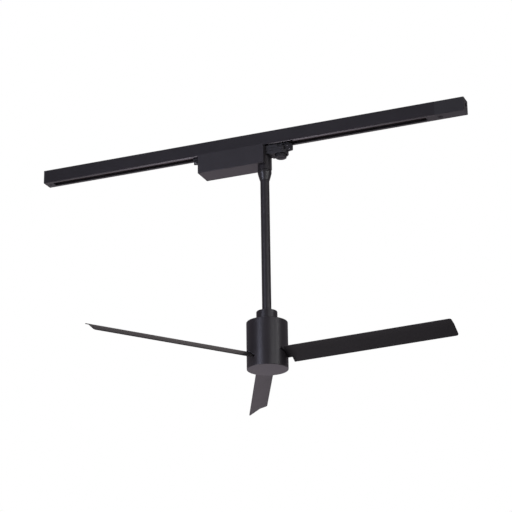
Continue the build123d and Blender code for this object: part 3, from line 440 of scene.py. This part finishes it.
# Live end. A moulded housing plugged into the track, with a terminal block inside and a bore
# for the mains cable in its end wall. A flat cover closes it from below with one screw.
feed_end = 570.0
feed_y = 16.3
feed_screw_x = 510.0
feed = block((track_half, -feed_y, track_z), (feed_end, feed_y, -0.2))
soften(feed, 1.2, 4, where=lambda e: abs(abs(middle(e).y) - feed_y) < 0.01
       and abs(middle(e).z - track_z) < 0.01)
soften(feed, 1.0, 4, where=lambda e: abs(middle(e).x - feed_end) < 0.01 and middle(e).z < -1)
plugged(feed, track_half, 23.0, 20.0, -1)
feed = machined(feed, block((502, -14.3, track_z - 1), (568, 14.3, -2.2)))
feed = machined(feed, post(feed_screw_x, 0, -31.0, -1.6, 4.0, 32), "UNION")
entry = bmesh.new()
entry_place = Matrix.Translation((feed_end - 1, 0, -14.5)) @ Matrix.Rotation(math.radians(90), 4, "Y")
bmesh.ops.create_cone(entry, cap_ends=True, segments=48, radius1=5.0, radius2=5.0, depth=6,
                      matrix=entry_place)
feed = machined(feed, entry)
piece("live_end_housing", "track", "black_plastic", plastic_black, feed, "feed_housing")

feed_cover = soften(block((502, -14.3, track_z), (568, 14.3, -31.0)), 0.35, 2)
feed_cover = machined(feed_cover, post(feed_screw_x, 0, track_z - 1, -32.0, 5.6, 48))
piece("live_end_cover", "track", "black_plastic", plastic_black, feed_cover, "feed_cover")
piece("live_end_screw", "track", "black_steel", black_steel,
      pan_screw(feed_screw_x, 0, -32.0, 2.88, 0.9, 1.6, 17.0), "feed_cover_screw")
brass = drawn_metal("brass", (0.75, 0.6, 0.3), 0.25)
terminal_plastic = moulded("terminal_plastic", (0.55, 0.56, 0.55), 0.5)
dress(brass, "feed_contacts")
dress(terminal_plastic, "feed_terminal_block")

# Driver box. A shallow black case under the track, with a neck that sits in the slot. A flat lid
# closes it from below; its posts take screws from the case's top, beside the track, and a circuit
# board with the fan's driver hangs inside.
case_low = (-84.0, -27.5, -81.6)
case_high = (84.0, 27.5, -34.5)
fan_x = 76.0
lid_screw_places = [(x, y) for x in (-77.8, 47.8) for y in (-21.3, 21.3)]
body_coat = powder_coat("body_coat", (0.026, 0.0243, 0.027), 0.38, 1000.0, 0.5)

case = soften(block(case_low, case_high), 0.5, 3)
case = machined(case, block((-82, -25.5, -82.6), (52, 25.5, -36.5)))
case = machined(case, block((54, -25.5, -79.6), (82, 25.5, -36.5)))
case = machined(case, post(fan_x, 0, -83, -56.5, 16.7, 64))
case = machined(case, block((62.7, -14.3, -56.8), (86, 14.3, -48.2)))
for x, y in lid_screw_places:
    case = machined(case, post(x, y, -35.5, -34, 2.85, 32))
    case = machined(case, post(x, y, -37, -35, 1.5, 24))
case = machined(case, block((-105, -7, -36.5), (-60, 7, -7)), "UNION")
case = machined(case, post(-97, 0, -40, -14.1, 2.65, 32))
case = machined(case, post(-97, 0, -16.9, -14.1, 11.8, 48))
piece("driver_box", "carriage", "body_paint", body_coat, case, "driver_case")

lid = soften(block((-81.8, -25.3, -81.6), (51.8, 25.3, -79.6)), 0.3, 2)
for x, y in lid_screw_places:
    lid = machined(lid, post(x, y, -80, -36.5, 3.6, 32), "UNION")
    lid = machined(lid, post(x, y, -44.5, -36, 1.5, 24))
piece("driver_box_lid", "carriage", "body_paint", body_coat, lid, "driver_lid")
lid_screws = bmesh.new()
for x, y in lid_screw_places:
    joined(lid_screws, pan_screw(x, -y, 35.5, 2.7, 0.9, 1.5, 9.0))
bmesh.ops.rotate(lid_screws, verts=lid_screws.verts, matrix=Matrix.Rotation(math.radians(180), 3, "X"))
piece("lid_screws", "carriage", "black_steel", black_steel, lid_screws, "driver_lid_screws")

board_green = Finish("board_green", Specular_IOR_Level=0.5)
board_weave = board_green.noise(board_green.place(), 900.0, 2.0)
board_green.feed(Base_Color=board_green.mixed(board_weave, (0.03, 0.14, 0.06, 1), (0.06, 0.24, 0.1, 1)),
                 Roughness=0.3 + 0.2 * board_weave)
dress(board_green.material, "driver_board")
component_sleeve = moulded("component_sleeve", (0.05, 0.05, 0.09), 0.3)
zinc = drawn_metal("zinc", (0.62, 0.61, 0.6), 0.3, (1.0, 1.0, 1.0), 0.15)
winding_wire = drawn_metal("winding_wire", (0.6, 0.28, 0.13), 0.3, (1.0, 1.0, 0.05))
dress(component_sleeve, "board_capacitors", "board_transformer")
dress(winding_wire, "board_choke")
dress(zinc, "board_spacers")
dress(terminal_plastic, "board_terminals")

# Adapter. A moulded body under the slot, with two finger grooves on each side, a low step and an
# open corner for the lever at its far end, and a neck that carries sprung copper contacts. A flat
# foot plate is screwed under it, with a round opening for the dial.
dial_x = 118.0
adapter_end_r = 18.2


def raised(outline, low, high):
    """A closed (x, y) outline raised from one height to another."""
    bm = bmesh.new()
    face = bm.faces.new([bm.verts.new((x, y, low)) for x, y in outline])
    drawn = bmesh.ops.extrude_face_region(bm, geom=[face])["geom"]
    moved = [v for v in drawn if isinstance(v, bmesh.types.BMVert)]
    bmesh.ops.translate(bm, vec=(0, 0, high - low), verts=moved)
    bmesh.ops.recalc_face_normals(bm, faces=bm.faces)
    return bm


def round_ended(start, low, high):
    """A slab as wide as the adapter whose far end follows a circle about the dial."""
    reach = math.asin(16.0 / adapter_end_r)
    arc = [(dial_x + adapter_end_r * math.cos(angle), adapter_end_r * math.sin(angle))
           for angle in (reach * (step / 16 - 1) for step in range(33))]
    return raised([(start, 16.0), (start, -16.0)] + arc, low, high)


adapter = round_ended(84, -56.5, -36.7)
adapter = machined(adapter, block((114.5, -17, -41.9), (140, 17, -36)))
adapter = machined(adapter, block((123.9, -8.1, -51.3), (140, 17, -41)))
adapter = machined(adapter, block((129.9, -17, -51.3), (140, 17, -41)))
for top in (-43.2, -50.0):
    for side in (-1, 1):
        adapter = machined(adapter, block((83, min(side * 15.2, side * 17), top - 1.4),
                                          (128.5, max(side * 15.2, side * 17), top)))
soften(adapter, 0.4, 2, where=lambda e: middle(e).x > 84.1 and middle(e).z > -56.4)
adapter = machined(adapter, post(dial_x, 0, -58, -54.7, 14.6, 64))
adapter = machined(adapter, post(dial_x, 0, -58, -52.1, 8.2, 48))
adapter = machined(adapter, block((63, -14, -56.5), (85, 14, -48.5)), "UNION")
adapter = machined(adapter, block((87, -7, -42.5), (123.9, 7, -7)), "UNION")
adapter = machined(adapter, block((123, -7, -34.7), (140.5, 7, -7)), "UNION")
adapter = machined(adapter, post(132, 0, -24.9, -22.1, 11.8, 48))
adapter = machined(adapter, post(132, 0, -36, -22.1, 3.65, 32))
adapter = machined(adapter, post(132, 0, -54.0, -51.0, 2.65, 32))
adapter = machined(adapter, post(fan_x, 0, -58, -48, 5.0, 32))
piece("adapter_housing", "carriage", "black_plastic", plastic_black, adapter, "adapter_body")

feet = round_ended(93, -58.7, -56.5)
feet = machined(feet, post(dial_x, 0, -60, -55, 14.6, 64))
soften(feet, 0.4, 2, where=lambda e: middle(e).z < -58.6)
foot_screw_places = [(97.5 + 7.0 * i, side * (5.0 + 7.5 * i)) for i in (0, 1) for side in (-1, 1)]
for x, y in foot_screw_places:
    feet = machined(feet, post(x, y, -60, -57.7, 2.66, 24))
piece("adapter_foot_plate", "carriage", "black_plastic", plastic_black, feet, "adapter_feet")
foot_screws = bmesh.new()
for x, y in foot_screw_places:
    joined(foot_screws, pan_screw(x, y, -57.7, 2.52, 0.9, 1.4, 6.2))
piece("foot_screws", "carriage", "black_steel", black_steel, foot_screws, "adapter_feet_screws")
dress(copper, "adapter_contacts", "earth_contact")

# Circuit dial. A moulded knob that turns under the adapter and picks the circuit. Its rim is
# scalloped for the fingers, and a bar across its face shows and turns the setting.
dial_r = 13.2


def around(bm, count, x, y=0.0, start=0.0):
    """Copies of a mesh turned about an upright axis, as one mesh."""
    ring = bmesh.new()
    for i in range(count):
        turn = Matrix.Rotation(math.radians(start + 360.0 * i / count), 3, "Z")
        copy = bm.copy()
        bmesh.ops.rotate(copy, verts=copy.verts, cent=(x, y, 0), matrix=turn)
        joined(ring, copy)
    bm.free()
    return ring


dial = soften(post(dial_x, 0, -67, -55, dial_r, 120), 1.0, 3, where=lambda e: middle(e).z < -66.9)
dial = machined(dial, around(post(dial_x + dial_r + 1.2, 0, -69, -58, 2.4, 24), 12, dial_x))
soften(dial, 0.3, 2)
grip = block((dial_x - 9, -1.6, -68.2), (dial_x + 9, 1.6, -66.0))
soften(grip, 1.5, 4, where=lambda e: abs(abs(middle(e).x - dial_x) - 9) < 0.01
       and abs(abs(middle(e).y) - 1.6) < 0.01)
soften(grip, 0.4, 2, where=lambda e: middle(e).z < -68.1)
dial = machined(dial, grip, "UNION")
joined(dial, post(dial_x, 0, -55, -52.4, 7.9, 64), post(dial_x, 0, -52.4, -44.7, 4.0, 32))
piece("circuit_dial_knob", "dial", "black_plastic", plastic_black, dial, "phase_dial")

# Locking lever. A moulded finger at the adapter's end. Its post turns a steel tongue into the
# track's groove, and two steel rivets hold the finger to its post.
lever_x = 132.0


def finger(x, hub_r, tip_x, tip_r, low, high):
    """A round hub and a smaller round tip, with a straight web that touches both."""
    way = 1 if tip_x > x else -1
    lean = math.asin((hub_r - tip_r) / abs(tip_x - x))
    outline = []
    for centre, radius, first, last in ((tip_x, tip_r, -90 + math.degrees(lean), 90 - math.degrees(lean)),
                                        (x, hub_r, 90 - math.degrees(lean), 270 + math.degrees(lean))):
        for step in range(17):
            angle = math.radians(first + (last - first) * step / 16)
            outline.append((centre + way * radius * math.cos(angle), radius * math.sin(angle)))
    return soften(raised(outline, low, high), 0.6, 3, corner=60)


def cross_pin(x, z, radius, half):
    """A round pin along Y."""
    bm = bmesh.new()
    bmesh.ops.create_cone(bm, cap_ends=True, segments=32, radius1=radius, radius2=radius, depth=2 * half,
                          matrix=Matrix.Translation((x, 0, z)) @ Matrix.Rotation(math.radians(90), 4, "X"))
    return soften(bm, radius * 0.2, 2)


lever = finger(lever_x, 7.5, 144.175, 4.125, -51, -35)
lever_pins = ((136.0, -40.3, 5.72), (140.5, -48.8, 4.42))
for x, z, half in lever_pins:
    lever = machined(lever, cross_pin(x, z, 1.5, 8))
joined(lever, post(lever_x, 0, -35, -24.6, 3.6, 32), post(lever_x, 0, -53.7, -51, 2.6, 32))
piece("locking_lever", "lever", "black_plastic", plastic_black, lever, "lock_lever")
rivets = joined(bmesh.new(), *[cross_pin(x, z, 1.5, half) for x, z, half in lever_pins])
piece("lever_pins", "lever", "zinc_steel", zinc, rivets, "lever_rivets")
dress(zinc, "lock_tongue")

# Latch. A small moulded knob at the driver box's other end. It turns a second steel tongue in
# the track, and a bright steel pin crosses it.
latch_x = -97.0
latch = finger(latch_x, 5.0, -102.75, 2.75, -46.3, -36.8)
latch = machined(latch, cross_pin(-99.5, -43.8, 1.3, 6))
joined(latch, post(latch_x, 0, -36.8, -16.6, 2.6, 32))
piece("latch_knob", "latch", "black_plastic", plastic_black, latch, "latch_lever")
piece("latch_cross_pin", "latch", "zinc_steel", zinc, cross_pin(-99.5, -43.8, 1.3, 5.0), "latch_pin")
dress(zinc, "latch_tongue")

# Stem. A steel nipple and nut in the adapter's arm carry a turned collar. The down rod is
# pushed into the collar, and a loose tapered cone hides the joint. A near-black ring in the
# cone's groove is painted shade for the dark seam under the collar. The motor's lead runs inside.


def turned(outline, x, steps=96):
    """A closed (r, z) outline spun about an upright axis at x."""
    bm = bmesh.new()
    corners = [bm.verts.new((x + r, 0, z)) for r, z in outline]
    loop = [bm.edges.new((corners[i - 1], corners[i])) for i in range(len(corners))]
    bmesh.ops.spin(bm, geom=corners + loop, cent=(x, 0, 0), axis=(0, 0, 1), angle=2 * math.pi,
                   steps=steps, use_merge=True)
    bmesh.ops.remove_doubles(bm, verts=bm.verts, dist=0.001)
    bmesh.ops.recalc_face_normals(bm, faces=bm.faces)
    return bm


collar = turned([(5.0, -56.5), (16.4, -56.5), (16.4, -92.5), (10.65, -92.5), (10.65, -65.5), (5.0, -65.5)],
                fan_x)
soften(collar, 0.5, 3, where=lambda e: abs((middle(e) - Vector((fan_x, 0, middle(e).z))).length - 16.4) < 0.1)
piece("rod_collar", "carriage", "body_paint", body_coat, collar, "stem_collar")
stem_coat = powder_coat("stem_coat", (0.024, 0.0235, 0.025), 0.34, 1200.0, 0.62)
cone = turned([(10.65, -92.5), (15.2, -92.5), (15.2, -94.0), (16.4, -94.0), (16.4, -99.5), (11.5, -117.7),
               (10.65, -117.7)], fan_x)
soften(cone, 0.5, 3, corner=5, where=lambda e: (middle(e) - Vector((fan_x, 0, middle(e).z))).length > 11
       and middle(e).z < -93)
piece("rod_cone", "carriage", "body_paint", stem_coat, cone, "stem_cone")
# A near-black ring set in the cone's groove: painted shade for the seam between collar and cone.
seam_shade_black = moulded("seam_shade_black", (0.004, 0.004, 0.004), 0.8)
seam_shade_ring = turned([(15.2, -92.6), (15.7, -92.6), (15.7, -93.9), (15.2, -93.9)], fan_x)
piece("cone_seam_shade", "carriage", "black_plastic", seam_shade_black, soften(seam_shade_ring, 0.15, 2), "stem_cone")
rod = turned([(9.05, -65.5), (10.65, -65.5), (10.65, -460), (9.05, -460)], fan_x)
soften(rod, 0.3, 2, corner=60)
piece("hanging_rod", "carriage", "body_paint", body_coat, rod, "down_rod")
lead_sheath = moulded("lead_sheath", (0.05, 0.05, 0.05), 0.6)
dress(lead_sheath, "motor_lead")
dress(zinc, "stem_nipple", "stem_nut", "rod_pins")

# Coupling cover. A turned aluminium cup that slides up the rod over the cross pins and is held
# by a set screw from behind, powder coated like the rod.
cup = turned([(15.65, -450.5), (15.65, -442.6), (22.7, -442.6), (22.7, -466), (24.3, -466), (24.3, -441),
              (10.65, -441), (10.65, -450.5)], fan_x)
soften(cup, 1.8, 5, corner=60, where=lambda e: middle(e).z > -441.1
       and (middle(e) - Vector((fan_x, 0, middle(e).z))).length > 20)
piece("coupling_cup", "carriage", "body_paint", body_coat, cup, "coupling_cover")
dress(black_steel, "coupling_screw")

# Motor inside. A hollow shaft on the rod carries a laminated stator with twelve coils and two
# ball bearings; none of it shows from outside.
core_steel = drawn_metal("core_steel", (0.3, 0.3, 0.32), 0.4, (1.0, 1.0, 20.0))
bearing_steel = drawn_metal("bearing_steel", (0.68, 0.68, 0.7), 0.15, (1.0, 1.0, 1.0), 0.05)
magnet_black = moulded("magnet_black", (0.09, 0.09, 0.1), 0.4)
cast_aluminium = drawn_metal("cast_aluminium", (0.5, 0.5, 0.52), 0.45, (1.0, 1.0, 1.0), 0.2)
dress(zinc, "motor_shaft", "shaft_nut", "hub_screws", "blade_screws", "blade_clamps")
dress(core_steel, "stator_core", "rotor_ring")
dress(winding_wire, "stator_windings")
dress(bearing_steel, "bearing_inner_rings", "bearing_outer_rings", "bearing_balls")
dress(magnet_black, "rotor_magnets")
dress(cast_aluminium, "rotor_hub")

# Can. The motor's spun outer shell, which turns with the blades. Its top is rounded over, and
# three slanting slots near its foot let the blades' tangs into the hub.
can_r = 47.5
crease = Vector((-4.0, -544.0))
low_way = Vector((math.cos(math.radians(35.4)), -math.sin(math.radians(35.4))))
high_way = Vector((-math.cos(math.radians(20)), math.sin(math.radians(20))))
low_up = Vector((-low_way.y, low_way.x))
high_up = Vector((high_way.y, -high_way.x))
fold = (low_up + high_up).normalized()


def folded(low, high, half):
    """The folded blade sheet's outline across the span, thick by twice the half given."""
    reach = fold * (half / fold.dot(low_up))
    return [crease + low_way * low + low_up * half, crease + reach, crease + high_way * high + high_up * half,
            crease + high_way * high - high_up * half, crease - reach, crease + low_way * low - low_up * half]


can = turned([(45.5, -575), (can_r, -575), (can_r, -467), (13, -467), (13, -470), (16, -470), (16, -479),
              (19, -479), (19, -470), (45.5, -470)], fan_x, 128)
soften(can, 1.8, 5, corner=60, where=lambda e: middle(e).z > -467.1
       and (middle(e) - Vector((fan_x, 0, middle(e).z))).length > 47)
slots = drawn_out(folded(23.0, 16.5, 3.0), 33.5, 49.5)
bmesh.ops.translate(slots, vec=(fan_x, 0, 0), verts=slots.verts)
can = machined(can, around(slots, 3, fan_x, start=-5))
piece("motor_can", "rotor", "body_paint", body_coat, can, "rotor_housing")

foot = turned([(43.0, -572), (45.45, -572), (45.45, -575), (can_r, -575), (can_r, -579), (0, -579),
               (0, -575), (43.0, -575)], fan_x, 128)
soften(foot, 1.3, 4, corner=60, where=lambda e: middle(e).z < -578.9
       and (middle(e) - Vector((fan_x, 0, middle(e).z))).length > 47)
piece("motor_foot_cover", "rotor", "body_paint", body_coat, foot, "bottom_cover")

# Blades. Three folded aluminium sheets, powder coated. Each has a narrow tang that goes
# through its slot, and two screws and a clamp plate hold it under the hub.
blade_coat = powder_coat("blade_coat", (0.0175, 0.0163, 0.0165), 0.45, 1000.0, 0.37)


def blade_plan():
    """The blade's outline, flat: distance out from the axis, and across from the crease."""
    corners = [(25, 18), (58, 18), (58, 32.3), (455, 32.3, 5), (455, -19.5, 5), (53, -19.5), (53, -14.5),
               (25, -14.5)]
    outline = []
    for x, y, *rounding in corners:
        if not rounding:
            outline.append((x, y))
            continue
        r = rounding[0]
        way = 1 if y > 0 else -1
        for step in range(9):
            angle = math.radians(90 * step / 8 if way < 0 else 90 - 90 * step / 8)
            outline.append((x - r + r * math.cos(angle), way * (abs(y) - r + r * math.sin(angle))))
    return outline


def blade_sheet():
    """Cuts the outline and folds it along the crease, as a sheet without thickness."""
    bm = bmesh.new()
    outline = blade_plan()
    bm.faces.new([bm.verts.new((x, y, 0)) for x, y in outline])
    sliced(bm, "y", 0)
    sliced(bm, "x", *range(60, 455, 40))
    for v in bm.verts:
        across = v.co.y
        spot = crease + (low_way * across if across > 0 else high_way * -across)
        v.co = Vector((v.co.x, spot.x, spot.y))
    bmesh.ops.recalc_face_normals(bm, faces=bm.faces)
    return bm


for i in range(3):
    blade = blade_sheet()
    bmesh.ops.translate(blade, vec=(fan_x, 0, 0), verts=blade.verts)
    bmesh.ops.rotate(blade, verts=blade.verts, cent=(fan_x, 0, 0),
                     matrix=Matrix.Rotation(math.radians(-5 + 120 * i), 3, "Z"))
    obj = piece(f"fan_blade_{i + 1}", "rotor", "body_paint", blade_coat, blade, f"blade_{i + 1}")
    sheet = obj.modifiers.new("sheet", "SOLIDIFY")
    sheet.thickness = 0.002
    sheet.offset = 0.0
    sheet.use_even_offset = True
    edge = obj.modifiers.new("edge", "BEVEL")
    edge.width = 0.0005
    edge.segments = 2
    edge.limit_method = "ANGLE"
    edge.angle_limit = math.radians(50)
    obj.modifiers.move(0, 2)

# Studio. A plain pale floor far below the hanging fan, with a glow that the camera alone sees,
# and white surroundings. Soft boxes stand beside the camera for the highlights on the motor and
# the rod, and weak ones above, low, behind and below fill in the other sides.
floor_radius = 9.0
floor_depth = 5.2
floor_glow = 0.6
floor_mesh = bmesh.new()
bmesh.ops.create_circle(floor_mesh, cap_ends=True, segments=96, radius=floor_radius,
                        matrix=Matrix.Translation((0, 0, -floor_depth)))
floor_finish = Finish("floor_paint", Specular_IOR_Level=0.2, Emission_Strength=floor_glow)
looked_at = floor_finish.node("LightPath", output="Is Camera Ray")
floor_cloud = floor_finish.noise(floor_finish.place(), 1.5, 3.0)
floor_finish.feed(Base_Color=floor_finish.mixed(floor_cloud, (0.8, 0.8, 0.8, 1), (0.84, 0.84, 0.84, 1)),
                  Roughness=0.75 + 0.1 * floor_cloud, Emission_Color=looked_at * (0.95 + 0.05 * floor_cloud))
mesh = bpy.data.meshes.new("floor")
floor_mesh.to_mesh(mesh)
floor_mesh.free()
mesh.materials.append(floor_finish.material)
floor = bpy.data.objects.new("floor", mesh)
bpy.context.scene.collection.objects.link(floor)

target = Vector((0.02, 0.0, -0.32))
camera_spot = Vector((1.586620, -3.773804, -1.788836))
right = Vector((0.92441409, 0.38117401, -0.01284348))
up = Vector((0.14188709, -0.31245267, 0.93927705))
forward = Vector((-0.35401502, 0.87010327, 0.34291932))

# Towards the camera's far side the surroundings are brightest, and they fall off downwards. That
# is the light they give: to the camera itself they are plain white.
world = bpy.data.worlds.new("studio")
world.use_nodes = True
bpy.context.scene.world = world
sky = Graph(world.node_tree)
away = Vector((forward.x, forward.y, 0)).normalized()
ray = sky.node("TexCoord", output="Generated")
behind = sky.node("VectorMath", {"operation": "DOT_PRODUCT"}, {0: ray, 1: away}, "Value")
height = sky.node("SeparateXYZ", {}, {0: ray}, "Z")


def band(value, *levels):
    """A soft mask over a value from -1 to 1: level and brightness by turns."""
    stops = [((level + 1) / 2, (bright, bright, bright, 1.0)) for level, bright in levels]
    return sky.node("ValToRGB", {"stops": stops}, {0: value * 0.5 + 0.5})


far_side = band(behind, (0.2, 0.0), (0.75, 1.0))
low_back = far_side * band(height, (-0.75, 0.3), (-0.45, 1.0), (-0.08, 1.0), (0.12, 0.0))
ambient_light = 0.19
back_light = 0.48
strength = ambient_light + back_light * low_back
fill = sky.node("Background", {}, {0: (1.0, 0.89, 1.0, 1.0), 1: strength})
seen = sky.node("Background", {}, {0: (1.0, 1.0, 1.0, 1.0), 1: 1.0})
to_camera = sky.node("LightPath", output="Is Camera Ray")
studio_light = sky.node("MixShader", {}, {0: to_camera, 1: fill, 2: seen})
sky.node("OutputWorld", {}, {0: studio_light}, None)
bpy.context.scene.view_settings.view_transform = "Standard"


def soft_box(name, degrees, distance, height, width, tall, watts, colour):
    """A soft box that faces the fan, by its angle round it from the camera's side."""
    away = camera_spot - target
    away.z = 0
    away.normalize()
    way = Matrix.Rotation(math.radians(degrees), 3, "Z") @ away
    light = bpy.data.lights.new(name, "AREA")
    light.shape = "RECTANGLE"
    light.size = width
    light.size_y = tall
    light.energy = watts
    light.color = colour
    lamp = bpy.data.objects.new(name, light)
    lamp.location = target + way * distance + Vector((0, 0, height))
    lamp.rotation_euler = (target - lamp.location).to_track_quat("-Z", "Y").to_euler()
    lamp.visible_camera = False
    bpy.context.scene.collection.objects.link(lamp)


soft_box("soft_box_left", -41, 3.0, 0.17, 0.6, 1.25, 21, (0.75, 0.78, 1.0))
soft_box("soft_box_right", 58, 3.0, 0.35, 0.7, 1.3, 12, (0.98, 0.98, 1.0))
soft_box("soft_box_inner", 30, 3.0, 0.25, 0.9, 1.3, 9.5, (0.98, 0.98, 1.0))
soft_box("overhead", 0, 1.0, 2.6, 3.0, 3.0, 8, (1.0, 0.96, 1.0))
soft_box("soft_box_low", -63.5, 0.756, -0.9, 0.5, 0.5, 4.8, (0.96, 0.9, 1.0))
soft_box("soft_box_rear", 174, 0.84, 0.6, 1.0, 0.5, 0.7, (1.0, 0.9, 0.85))
soft_box("soft_box_under", 172, 0.59, -1.24, 0.5, 0.5, 0.35, (1.0, 0.95, 1.0))

camera_data = bpy.data.cameras.new("camera")
camera_data.sensor_width = 36.0
camera_data.lens = 131.694
camera = bpy.data.objects.new("camera", camera_data)
turn = Matrix((right, up, -forward)).transposed().to_4x4()
camera.matrix_world = Matrix.Translation(camera_spot) @ turn
bpy.context.scene.collection.objects.link(camera)
bpy.context.scene.camera = camera
